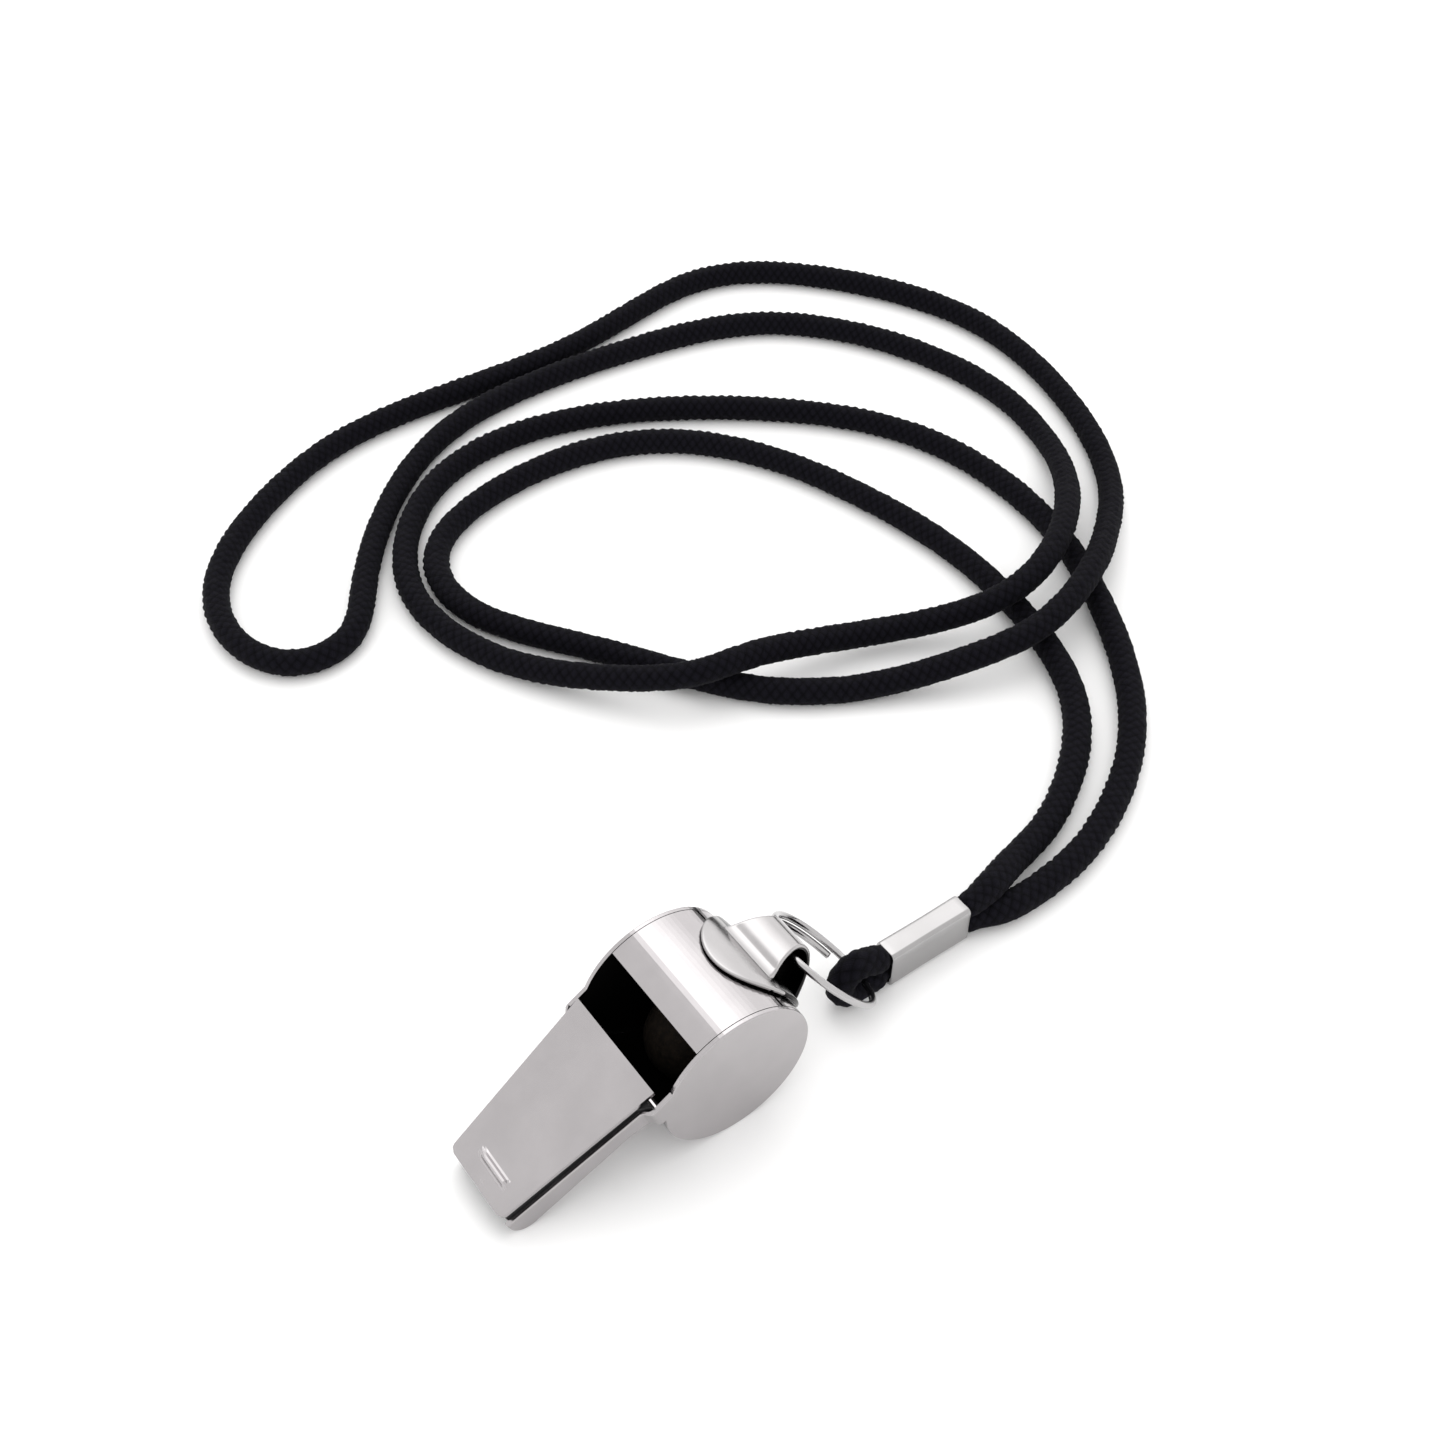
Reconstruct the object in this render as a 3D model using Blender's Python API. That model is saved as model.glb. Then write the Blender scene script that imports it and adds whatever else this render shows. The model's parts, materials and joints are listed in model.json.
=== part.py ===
"""Steel pea whistle on a black braided lanyard.

The whistle rests on its round barrel and on the lower lip of its mouthpiece, with the mouthpiece
pointing to +X and +Z up. A wire ring hangs in the lug behind the barrel and links it to the
lanyard, which lies on the same surface. Lengths are in metres.
"""

import math

import bmesh
import bpy
import numpy as np
from mathutils import Vector

MM = 0.001

# Barrel, measured in the whistle's own frame: x to the mouth tip, y across, n up out of the top.
BARREL_RADIUS = 11.0 * MM
BARREL_HALF_WIDTH = 9.9 * MM
BEND_START_X = 11.0 * MM
BEND_END_X = 12.4 * MM
ARC_STEPS = 88
SHEET = 0.6 * MM
SEAM = 0.1 * MM
LIP_ANGLE = math.radians(76.8)
BACK_SEAM_ANGLE = math.radians(149.4)
BACK_SEAM_WIDTH = 0.45 * MM
BAND_END_ANGLE = math.radians(377.0)

# Mouthpiece.
MOUTH_X = 33.4 * MM
ROOT_X = 9.4 * MM
TOP_N_ROOT = 8.8 * MM
TOP_N_TIP = 4.7 * MM
TOP_HALF_ROOT = 8.5 * MM
TOP_HALF_TIP = 6.05 * MM
SIDE_HALF_ROOT = 9.0 * MM
SIDE_HALF_TIP = 6.5 * MM
SIDE_DROP_ROOT = 1.4 * MM
SIDE_DROP_TIP = 1.9 * MM
FLOOR_N_ROOT = 3.6 * MM
FLOOR_BEND_X = 15.0 * MM
FLOOR_SLOPE = -4.0 / 15.0
CHIN_RADIUS = 2.15 * MM
CHIN_WRAP = math.radians(55.0)

# Tooth ridge pressed into the top plate, and the thumb dent at its tip edge.
RIDGE_X = 30.4 * MM
RIDGE_HALF_LENGTH = 3.6 * MM
RIDGE_HALF_WIDTH = 0.75 * MM
RIDGE_HEIGHT = 0.85 * MM
RIDGE_FADE = 0.8
RIDGE_STOP = 0.12
DENT_Y = -0.2 * MM
DENT_DEPTH = 0.45 * MM
DENT_RADIUS = 1.9 * MM
TOP_CORNER = 0.9 * MM

# Windway liner.
LINER_RAIL = 1.1 * MM
LINER_THROAT = 1.7 * MM
LINER_FLOOR = 0.8 * MM
LINER_START_X = BEND_START_X - 0.2 * MM
LINER_SETBACK = 0.5 * MM
LINER_LIP_DROP = 0.2 * MM

# Pea.
PEA_RADIUS = 6.0 * MM
PEA_CLEARANCE = 0.15 * MM
PEA_Y = -1.0 * MM

# Lug on the back of the barrel.
LUG_ANGLE = math.radians(169.0)
LUG_GAP = 0.3 * MM
FLANGE_HALF_LENGTH = 8.9 * MM
FLANGE_HALF_WIDTH = 7.8 * MM
HOOD_APEX = 2.2 * MM
HOOD_FRONT_SPAN = 4.7 * MM
HOOD_BACK_SPAN = 4.3 * MM
HOOD_HALF_ROOF = 2.8 * MM
HOOD_HALF_FOOT = 5.0 * MM
HOOD_HEIGHT = 5.8 * MM
HOOD_POWER = 2.2
HOOD_SUNK = 2.0 * MM

# Wire ring, from its top in the lug to its bottom in the cord's bight.
RING_Y = 2.1 * MM
RING_TOP = Vector((-13.8 * MM, RING_Y, 17.5 * MM))
RING_BOTTOM = Vector((-24.8 * MM, RING_Y, 4.5 * MM))
WIRE_RADIUS = 0.5 * MM
RING_OVERLAP = math.radians(110.0)
RING_START = math.radians(-136.0)
RING_PITCH = 1.15 * MM

# Ferrule and cord, laid on the table plane z = 0.
CORD_DIAMETER = 4.2 * MM
CORD_PINCH = 0.6
CORD_GRIP = 8.0 * MM
CORD_FREE = 22.0 * MM
CORD_POINTS = 58
CORD_END_POINTS = 8
BEND_WEIGHT = 16.0 * MM
TABLE_CLEARANCE = 0.02 * MM
FERRULE_NEAR_X = -29.5 * MM
FERRULE_FAR_X = -43.5 * MM
FERRULE_Y = 3.3 * MM
FERRULE_Z = 3.5 * MM
FERRULE_WIDTH = 3.7 * MM
FERRULE_HEIGHT = 6.6 * MM
FERRULE_WALL = 0.4 * MM
FERRULE_CORNER = 0.7 * MM
LEG_SPREAD = 1.4 * MM
BIGHT_RADIUS = 1.65 * MM
BIGHT_HOLE_X = -24.5 * MM
BIGHT_Z = 4.5 * MM
BIGHT_TURN = 2.45 * MM
BIGHT_HALF_SWEEP = math.radians(112.0)
BUTT_GAP = 0.3 * MM

# Route of the neck loop's centreline, from the ferrule out and back, in millimetres.
CORD_ROUTE_MM = [
    (-36.9, 3.3, 4.9),
    (-45.0, 3.1, 5.0),
    (-50.0, 2.2, 4.9),
    (-56.5, -0.1, 3.3),
    (-64.2, -2.4, 2.2),
    (-73.5, -6.9, 2.1),
    (-86.0, -18.0, 2.1),
    (-93.2, -35.3, 2.1),
    (-95.2, -56.0, 2.1),
    (-92.0, -77.0, 2.1),
    (-83.0, -99.8, 2.1),
    (-66.0, -115.0, 2.1),
    (-40.5, -117.2, 2.1),
    (-23.0, -108.5, 2.1),
    (-20.5, -92.5, 2.1),
    (-32.6, -72.4, 2.1),
    (-47.0, -51.5, 2.1),
    (-62.5, -40.5, 2.4),
    (-79.5, -33.6, 5.2),
    (-91.5, -32.0, 6.7),
    (-106.0, -36.6, 6.9),
    (-118.5, -44.8, 4.6),
    (-133.0, -60.0, 2.1),
    (-144.2, -95.0, 2.1),
    (-139.0, -122.6, 2.1),
    (-119.0, -147.0, 2.1),
    (-101.0, -151.3, 2.1),
    (-72.0, -146.5, 2.1),
    (-32.0, -147.0, 2.1),
    (-8.0, -139.5, 2.1),
    (10.3, -124.0, 2.1),
    (14.2, -108.0, 2.1),
    (8.6, -98.4, 2.1),
    (-0.8, -98.6, 2.1),
    (-9.5, -109.2, 2.1),
    (-24.0, -126.0, 2.1),
    (-47.0, -139.0, 2.1),
    (-84.0, -139.0, 2.1),
    (-112.0, -129.5, 2.1),
    (-130.0, -100.0, 2.1),
    (-129.0, -71.5, 2.4),
    (-112.5, -49.3, 6.8),
    (-92.5, -40.8, 6.7),
    (-74.0, -47.2, 3.6),
    (-50.5, -53.8, 6.0),
    (-39.2, -55.2, 6.9),
    (-28.5, -64.9, 4.3),
    (-17.5, -81.8, 2.1),
    (-15.2, -104.0, 2.1),
    (-33.0, -125.5, 2.1),
    (-59.8, -127.5, 2.1),
    (-89.4, -111.6, 2.1),
    (-110.5, -86.5, 2.1),
    (-114.0, -58.0, 2.1),
    (-107.5, -36.0, 2.1),
    (-90.5, -10.0, 2.1),
    (-68.6, 3.2, 2.1),
    (-56.5, 5.2, 2.1),
    (-50.0, 4.9, 2.1),
    (-45.0, 3.6, 2.1),
    (-36.9, 3.3, 2.1),
]

# Everything is laid out from the point under the barrel's axis, then moved so that the origin is
# the bottom centre of the box around the whistle and its ring.
CENTRE_SHIFT = Vector((-3.775 * MM, -0.602 * MM, 0.0))


def along(x, root, tip):
    """A value that runs evenly from the mouthpiece's root to its tip."""
    return root + (tip - root) * (x - ROOT_X) / (MOUTH_X - ROOT_X)


def smooth(t):
    t = min(max(t, 0.0), 1.0)
    return t * t * (3.0 - 2.0 * t)


def top_n(x):
    return along(x, TOP_N_ROOT, TOP_N_TIP)


def side_top_n(x):
    return top_n(x) - along(x, SIDE_DROP_ROOT, SIDE_DROP_TIP)


def floor_n(x):
    return FLOOR_N_ROOT + FLOOR_SLOPE * max(0.0, x - FLOOR_BEND_X)


def side_y(x):
    """Outer face of a side plate: flat over the barrel, bent in along the mouthpiece."""
    wing = along(x, SIDE_HALF_ROOT, SIDE_HALF_TIP)
    blend = smooth((x - BEND_START_X) / (BEND_END_X - BEND_START_X))
    return BARREL_HALF_WIDTH + (wing - BARREL_HALF_WIDTH) * blend


CHIN_X = MOUTH_X - CHIN_RADIUS
CHIN_N = floor_n(CHIN_X) + CHIN_RADIUS * math.hypot(1.0, FLOOR_SLOPE)
CHIN_START = math.atan2(-1.0, FLOOR_SLOPE)

# The angle at which the barrel and the chin touch the table together.
PITCH = math.asin((BARREL_RADIUS - CHIN_RADIUS) / math.hypot(CHIN_X, CHIN_N)) + math.atan2(CHIN_N, CHIN_X)


def clear_scene():
    for item in list(bpy.data.objects):
        bpy.data.objects.remove(item, do_unlink=True)


def material(name, colour, roughness, metallic):
    made = bpy.data.materials.new(name)
    made.use_nodes = True
    shader = made.node_tree.nodes["Principled BSDF"]
    shader.inputs["Base Color"].default_value = (*colour, 1.0)
    shader.inputs["Roughness"].default_value = roughness
    shader.inputs["Metallic"].default_value = metallic
    return made


def empty(name, location, rotation=(0.0, 0.0, 0.0), parent=None):
    made = bpy.data.objects.new(name, None)
    made.location = location
    made.rotation_euler = rotation
    made.parent = parent
    bpy.context.collection.objects.link(made)
    return made


def solid(name, bm, finish, parent, sharp=35.0):
    """Close up a bmesh as an object with smooth round faces and crisp edges."""
    bmesh.ops.recalc_face_normals(bm, faces=bm.faces)
    if bm.calc_volume(signed=True) < 0.0:
        bmesh.ops.reverse_faces(bm, faces=bm.faces)
    mesh = bpy.data.meshes.new(name)
    bm.to_mesh(mesh)
    bm.free()
    mesh.shade_smooth()
    mesh.set_sharp_from_angle(angle=math.radians(sharp))
    mesh.materials.append(finish)
    made = bpy.data.objects.new(name, mesh)
    made.parent = parent
    bpy.context.collection.objects.link(made)
    return made


def loft(sections, ring=False):
    """Skin a list of equal closed sections, with flat ends, or joined end to end into a ring."""
    bm = bmesh.new()
    rows = [[bm.verts.new(point) for point in section] for section in sections]
    count = len(rows[0])
    pairs = list(zip(rows, rows[1:]))
    if ring:
        pairs.append((rows[-1], rows[0]))
    for one, two in pairs:
        for k in range(count):
            j = (k + 1) % count
            bm.faces.new((one[k], one[j], two[j], two[k]))
    if not ring:
        bm.faces.new(list(reversed(rows[0])))
        bm.faces.new(rows[-1])
    return bm


def polar(radius, angle, y=0.0):
    return Vector((radius * math.cos(angle), y, radius * math.sin(angle)))


def meeting_x():
    """Where the mouthpiece's top edge runs into the barrel's circle."""
    low, high = 0.5 * BARREL_RADIUS, 0.95 * BARREL_RADIUS
    for _ in range(40):
        middle = 0.5 * (low + high)
        if side_top_n(middle) > math.sqrt(BARREL_RADIUS**2 - middle**2):
            high = middle
        else:
            low = middle
    return 0.5 * (low + high)


def side_outline():
    """The cheek's edge: round the barrel, along the bottom, round the chin and back on top."""
    start_x = meeting_x()
    start = math.atan2(side_top_n(start_x), start_x)
    stop = math.tau + math.asin(FLOOR_N_ROOT / BARREL_RADIUS)
    points = []
    for k in range(ARC_STEPS + 1):
        angle = start + (stop - start) * k / ARC_STEPS
        points.append((BARREL_RADIUS * math.cos(angle), BARREL_RADIUS * math.sin(angle)))
    points.append((FLOOR_BEND_X, FLOOR_N_ROOT))
    chin_steps = 12
    for k in range(chin_steps + 1):
        angle = CHIN_START * (1.0 - k / chin_steps)
        points.append((CHIN_X + CHIN_RADIUS * math.cos(angle), CHIN_N + CHIN_RADIUS * math.sin(angle)))
    points.append((MOUTH_X, side_top_n(MOUTH_X)))
    return points


def side_plate(name, side, finish, parent):
    bm = bmesh.new()
    face = bm.faces.new([bm.verts.new((x, 0.0, n)) for x, n in side_outline()])
    made = bmesh.ops.extrude_face_region(bm, geom=[face])
    raised = [item for item in made["geom"] if isinstance(item, bmesh.types.BMVert)]
    bmesh.ops.translate(bm, vec=(0.0, SHEET, 0.0), verts=raised)
    rim = [edge for edge in bm.edges if all(vert.co.y > 0.5 * SHEET for vert in edge.verts)]
    bmesh.ops.bevel(bm, geom=rim, offset=0.25 * SHEET, segments=3, profile=0.5, affect="EDGES")
    cuts = 4
    for k in range(cuts + 1):
        x = BEND_START_X + (BEND_END_X - BEND_START_X) * k / cuts
        geometry = bm.verts[:] + bm.edges[:] + bm.faces[:]
        bmesh.ops.bisect_plane(bm, geom=geometry, plane_co=(x, 0.0, 0.0), plane_no=(1.0, 0.0, 0.0))
    for vert in bm.verts:
        vert.co.y = side * (side_y(vert.co.x) - SHEET + vert.co.y)
    return solid(name, bm, finish, parent)


def barrel_band(name, start, stop, finish, parent):
    """A rolled strip of sheet between the two cheeks."""
    half = BARREL_HALF_WIDTH - SHEET - SEAM
    steps = max(8, round((stop - start) / math.radians(3.5)))
    sections = []
    for k in range(steps + 1):
        angle = start + (stop - start) * k / steps
        inner, outer = BARREL_RADIUS - SHEET, BARREL_RADIUS
        sections.append([polar(inner, angle, -half), polar(inner, angle, half),
                         polar(outer, angle, half), polar(outer, angle, -half)])
    return solid(name, loft(sections), finish, parent)


def ridge_rise(x, y):
    """Height of the pressed tooth ridge: it fades in on one side and ends square on the other."""
    across = math.exp(-(((x - RIDGE_X) / (0.62 * RIDGE_HALF_WIDTH)) ** 2))
    fade = smooth((y + RIDGE_HALF_LENGTH) / (RIDGE_FADE * RIDGE_HALF_LENGTH))
    stop = smooth((RIDGE_HALF_LENGTH - y) / (RIDGE_STOP * RIDGE_HALF_LENGTH))
    return RIDGE_HEIGHT * across * fade * stop


def dent_fall(x, y):
    away = math.hypot(x - MOUTH_X, y - DENT_Y) / DENT_RADIUS
    return DENT_DEPTH * smooth(1.0 - away)


def top_half(x):
    """Half the top plate's width, with its two tip corners rounded."""
    past = max(0.0, x - (MOUTH_X - TOP_CORNER))
    trimmed = TOP_CORNER - math.sqrt(max(0.0, TOP_CORNER**2 - past**2))
    return along(x, TOP_HALF_ROOT, TOP_HALF_TIP) - trimmed


def top_plate(finish, parent):
    """The flat lid of the windway, from the window to the mouth."""
    near = [RIDGE_X + RIDGE_HALF_WIDTH * k / 3.0 for k in range(-5, 6)]
    stations = [ROOT_X, 0.5 * (ROOT_X + RIDGE_X), *near]
    stations += [near[-1] + (MOUTH_X - near[-1]) * k / 5.0 for k in range(1, 6)]
    columns = 34
    bm = bmesh.new()
    grids = []
    for depth in (0.0, SHEET):
        grid = []
        for x in stations:
            row = []
            for k in range(columns + 1):
                y = top_half(x) * (2.0 * k / columns - 1.0)
                n = top_n(x) + ridge_rise(x, y) - dent_fall(x, y) - depth
                row.append(bm.verts.new((x, y, n)))
            grid.append(row)
        grids.append(grid)
    upper, lower = grids
    for grid in grids:
        for one, two in zip(grid, grid[1:]):
            for k in range(columns):
                bm.faces.new((one[k], one[k + 1], two[k + 1], two[k]))
    for edge in (0, -1):
        for k in range(columns):
            bm.faces.new((upper[edge][k], upper[edge][k + 1], lower[edge][k + 1], lower[edge][k]))
        for k in range(len(stations) - 1):
            bm.faces.new((upper[k][edge], upper[k + 1][edge], lower[k + 1][edge], lower[k][edge]))
    return solid("mouthpiece_top_plate", bm, finish, parent)


def floor_plate(finish, parent):
    """The underside of the mouthpiece, curled up at the chin."""
    start_x = BARREL_RADIUS * math.cos(math.asin(FLOOR_N_ROOT / BARREL_RADIUS)) + SEAM
    path = []
    for x in (start_x, BEND_START_X, 0.5 * (BEND_START_X + BEND_END_X), BEND_END_X, FLOOR_BEND_X):
        path.append((x, FLOOR_N_ROOT, 0.0, -1.0))
    curl_steps = 8
    for k in range(curl_steps + 1):
        angle = CHIN_START + CHIN_WRAP * k / curl_steps
        out_x, out_n = math.cos(angle), math.sin(angle)
        path.append((CHIN_X + CHIN_RADIUS * out_x, CHIN_N + CHIN_RADIUS * out_n, out_x, out_n))
    sections = []
    for x, n, out_x, out_n in path:
        half = side_y(x) - SHEET - SEAM
        inner_x, inner_n = x - SHEET * out_x, n - SHEET * out_n
        sections.append([(x, -half, n), (x, half, n), (inner_x, half, inner_n), (inner_x, -half, inner_n)])
    return solid("mouthpiece_floor_plate", loft(sections), finish, parent)


def windway_liner(finish, parent):
    """A channel that lines the mouthpiece and narrows the windway towards the window."""
    bend_x = CHIN_X - 0.5 * LINER_SETBACK
    end_x = MOUTH_X - LINER_SETBACK
    sections = []
    for x in (LINER_START_X, BEND_END_X, FLOOR_BEND_X, 0.5 * (FLOOR_BEND_X + bend_x), bend_x, end_x):
        outer = side_y(x) - SHEET - SEAM
        inner = outer - LINER_RAIL
        top = top_n(x) - SHEET - SEAM
        if x > bend_x:
            bottom = CHIN_N - LINER_LIP_DROP
            bed = bottom + LINER_FLOOR
        else:
            bottom = floor_n(x) + SHEET + SEAM
            opened = smooth(2.0 * (x - LINER_START_X) / (end_x - LINER_START_X))
            throat = top - LINER_THROAT
            bed = throat - (throat - bottom - LINER_FLOOR) * opened
        sections.append([(x, -outer, bottom), (x, outer, bottom), (x, outer, top), (x, inner, top),
                         (x, inner, bed), (x, -inner, bed), (x, -inner, top), (x, -outer, top)])
    return solid("windway_liner", loft(sections), finish, parent)


def pea(finish, parent):
    """The loose ball, at rest on the lowest part of the chamber wall."""
    orbit = BARREL_RADIUS - SHEET - PEA_RADIUS - PEA_CLEARANCE
    bm = bmesh.new()
    bmesh.ops.create_uvsphere(bm, u_segments=32, v_segments=18, radius=PEA_RADIUS)
    centre = Vector((orbit * math.sin(PITCH), PEA_Y, -orbit * math.cos(PITCH)))
    bmesh.ops.translate(bm, vec=centre, verts=bm.verts)
    return solid("pea", bm, finish, parent, sharp=60.0)


def lug_point(u, y, rise):
    """A point on the lug: u round the barrel, y across it, rise above the strap's underside."""
    base = BARREL_RADIUS + LUG_GAP
    return polar(base + rise, LUG_ANGLE + u / base, y)


def lug_flange():
    """An oval strap that follows the barrel."""
    bm = bmesh.new()
    rings, spokes = 4, 56
    skins = []
    for rise in (SHEET, 0.0):
        centre = bm.verts.new(lug_point(0.0, 0.0, rise))
        skin = []
        for ring in range(1, rings + 1):
            share = ring / rings
            skin.append([bm.verts.new(lug_point(share * FLANGE_HALF_LENGTH * math.cos(math.tau * k / spokes),
                                                share * FLANGE_HALF_WIDTH * math.sin(math.tau * k / spokes),
                                                rise)) for k in range(spokes)])
        for k in range(spokes):
            bm.faces.new((centre, skin[0][k], skin[0][(k + 1) % spokes]))
        for one, two in zip(skin, skin[1:]):
            for k in range(spokes):
                j = (k + 1) % spokes
                bm.faces.new((one[k], one[j], two[j], two[k]))
        skins.append(skin)
    top, under = skins[0][-1], skins[1][-1]
    for k in range(spokes):
        j = (k + 1) % spokes
        bm.faces.new((top[k], top[j], under[j], under[k]))
    return bm


def hood_arch(share, wall, steps=24):
    """One arch of the hood, square to the barrel, with feet sunk below it.

    share runs from -1 at one open end to 1 at the other; the ends lean in towards the roof.
    """
    height = HOOD_HEIGHT - wall
    out = polar(1.0, LUG_ANGLE)
    round_way = polar(1.0, LUG_ANGLE + 0.5 * math.pi)
    power = 2.0 / HOOD_POWER
    points = []
    for k in range(steps + 1):
        angle = math.pi * k / steps
        span = (HOOD_BACK_SPAN if 2 * k < steps else HOOD_FRONT_SPAN) - wall
        u = HOOD_APEX + span * math.copysign(abs(math.cos(angle)) ** power, math.cos(angle))
        rise = -HOOD_SUNK if k in (0, steps) else height * math.sin(angle) ** power
        lean = max(0.0, rise) / HOOD_HEIGHT
        y = share * (HOOD_HALF_FOOT + (HOOD_HALF_ROOF - HOOD_HALF_FOOT) * lean)
        points.append(out * (BARREL_RADIUS + LUG_GAP + rise) + round_way * u + Vector((0.0, y, 0.0)))
    return points


def lug_hood():
    """The arched tunnel that holds the ring, open at both ends."""
    steps = 8
    sections = []
    for k in range(steps + 1):
        share = 2.0 * k / steps - 1.0
        sections.append(hood_arch(share, 0.0) + list(reversed(hood_arch(share, SHEET))))
    return loft(sections)


def rod(radius, half_length, steps):
    """A round bar about the barrel's axis."""
    ends = [[polar(radius, math.tau * k / steps, y) for k in range(steps)] for y in (-half_length, half_length)]
    return loft(ends)


def cutter(name, bm, parent):
    made = solid(name, bm, None, parent)
    made.hide_render = True
    made.display_type = "WIRE"
    return made


def combine(target, tool, operation):
    modifier = target.modifiers.new(operation.lower(), "BOOLEAN")
    modifier.operation = operation
    modifier.solver = "EXACT"
    modifier.object = tool


def lug(finish, parent):
    """The stamped lug: an oval strap with an arched hood raised out of it."""
    made = solid("ring_lug", lug_hood(), finish, parent, sharp=50.0)
    core = rod(BARREL_RADIUS + LUG_GAP + 0.5 * SHEET, BARREL_HALF_WIDTH, 120)
    combine(made, cutter("lug_cutter", core, parent), "DIFFERENCE")
    combine(made, cutter("lug_strap", lug_flange(), parent), "UNION")
    return made


def tube(name, points, radii, depth, finish, parent, resolution=2):
    """A round cord or bar along points, with a radius factor at each one and flat ends."""
    curve = bpy.data.curves.new(name, "CURVE")
    curve.dimensions = "3D"
    curve.bevel_depth = depth
    curve.bevel_resolution = resolution
    curve.use_fill_caps = True
    spline = curve.splines.new("POLY")
    spline.points.add(len(points) - 1)
    for item, place, factor in zip(spline.points, points, radii):
        item.co = (*place, 1.0)
        item.radius = factor
    spline.use_smooth = True
    curve.materials.append(finish)
    made = bpy.data.objects.new(name, curve)
    made.parent = parent
    bpy.context.collection.objects.link(made)
    return made


def split_ring(finish, parent):
    """A wire ring of a little more than one turn, whose ends lie side by side."""
    centre = 0.5 * (RING_TOP + RING_BOTTOM)
    down = (RING_BOTTOM - RING_TOP).normalized()
    across = Vector((0.0, 1.0, 0.0))
    normal = down.cross(across)
    radius = 0.5 * (RING_TOP - RING_BOTTOM).length
    sweep = math.tau + RING_OVERLAP
    steps = 76
    points = []
    for k in range(steps + 1):
        angle = RING_START + sweep * k / steps
        lift = RING_PITCH * (sweep / math.tau) * (k / steps - 0.5)
        points.append(centre + radius * (math.cos(angle) * down + math.sin(angle) * across) + lift * normal)
    return tube("split_ring", points, [1.0] * len(points), WIRE_RADIUS, finish, parent)


def rounded_frame(x, width, height, corner):
    """A rounded rectangle across the ferrule."""
    points = []
    per_corner = 4
    for quarter, (sy, sz) in enumerate(((1, 1), (-1, 1), (-1, -1), (1, -1))):
        middle_y = FERRULE_Y + sy * (0.5 * width - corner)
        middle_z = FERRULE_Z + sz * (0.5 * height - corner)
        for k in range(per_corner + 1):
            angle = 0.5 * math.pi * (quarter + k / per_corner)
            points.append((x, middle_y + corner * math.cos(angle), middle_z + corner * math.sin(angle)))
    return points


def ferrule(finish, parent):
    """The folded sleeve crimped round both strands."""
    inner_corner = FERRULE_CORNER - 0.5 * FERRULE_WALL
    inner = (FERRULE_WIDTH - 2 * FERRULE_WALL, FERRULE_HEIGHT - 2 * FERRULE_WALL, inner_corner)
    outer = (FERRULE_WIDTH, FERRULE_HEIGHT, FERRULE_CORNER)
    sections = [rounded_frame(FERRULE_FAR_X, *outer), rounded_frame(FERRULE_NEAR_X, *outer),
                rounded_frame(FERRULE_NEAR_X, *inner), rounded_frame(FERRULE_FAR_X, *inner)]
    return solid("crimp_ferrule", loft(sections, ring=True), finish, parent)


def natural_spline(route):
    """One smooth curve through the route's points, as fine samples and the distance to each."""
    places = np.array(route, float)
    gaps = np.sqrt(np.linalg.norm(np.diff(places, axis=0), axis=1))
    knots = np.concatenate(([0.0], np.cumsum(gaps)))
    size = len(places)
    matrix = np.eye(size)
    right = np.zeros((size, 3))
    for i in range(1, size - 1):
        before, after = gaps[i - 1], gaps[i]
        matrix[i, i - 1:i + 2] = (before, 2.0 * (before + after), after)
        slope_after = (places[i + 1] - places[i]) / after
        slope_before = (places[i] - places[i - 1]) / before
        right[i] = 6.0 * (slope_after - slope_before)
    bend = np.linalg.solve(matrix, right)
    fine = np.linspace(0.0, knots[-1], 40 * size)
    span = np.clip(np.searchsorted(knots, fine, side="right") - 1, 0, size - 2)
    gap = gaps[span][:, None]
    left = (knots[span + 1] - fine)[:, None]
    done = (fine - knots[span])[:, None]
    curve = (bend[span] * left**3 + bend[span + 1] * done**3) / (6.0 * gap)
    curve += (places[span] / gap - bend[span] * gap / 6.0) * left
    curve += (places[span + 1] / gap - bend[span + 1] * gap / 6.0) * done
    travelled = np.concatenate(([0.0], np.cumsum(np.linalg.norm(np.diff(curve, axis=0), axis=1))))
    return curve, travelled


def even_turn(curve, travelled, count):
    """Distances along a curve, count of them, set closer together where it bends."""
    heading = np.diff(curve, axis=0)
    heading /= np.linalg.norm(heading, axis=1)[:, None]
    turn = np.concatenate(([0.0], np.linalg.norm(np.diff(heading, axis=0), axis=1), [0.0]))
    effort = travelled + BEND_WEIGHT * np.cumsum(turn)
    first, last = np.interp((CORD_FREE, travelled[-1] - CORD_FREE), travelled, effort)
    return np.interp(np.linspace(first, last, count), effort, travelled)


def neck_cord(finish, parent):
    """The long loop that goes round the neck, lying on the table."""
    curve, travelled = natural_spline(np.array(CORD_ROUTE_MM) * MM)
    length = travelled[-1]
    ends = np.linspace(0.0, CORD_FREE, CORD_END_POINTS)[:-1]
    stations = np.concatenate((ends, even_turn(curve, travelled, CORD_POINTS), length - ends[::-1]))
    points = np.stack([np.interp(stations, travelled, curve[:, axis]) for axis in range(3)], axis=1)
    radius = 0.5 * CORD_DIAMETER
    points[:, 2] = np.maximum(points[:, 2], radius + TABLE_CLEARANCE)
    radii = []
    for station in stations:
        released = smooth((min(station, length - station) - CORD_GRIP) / (CORD_FREE - CORD_GRIP))
        radii.append(CORD_PINCH + (1.0 - CORD_PINCH) * released)
    return tube("neck_cord", [tuple(p) for p in points], radii, radius, finish, parent)


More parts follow.
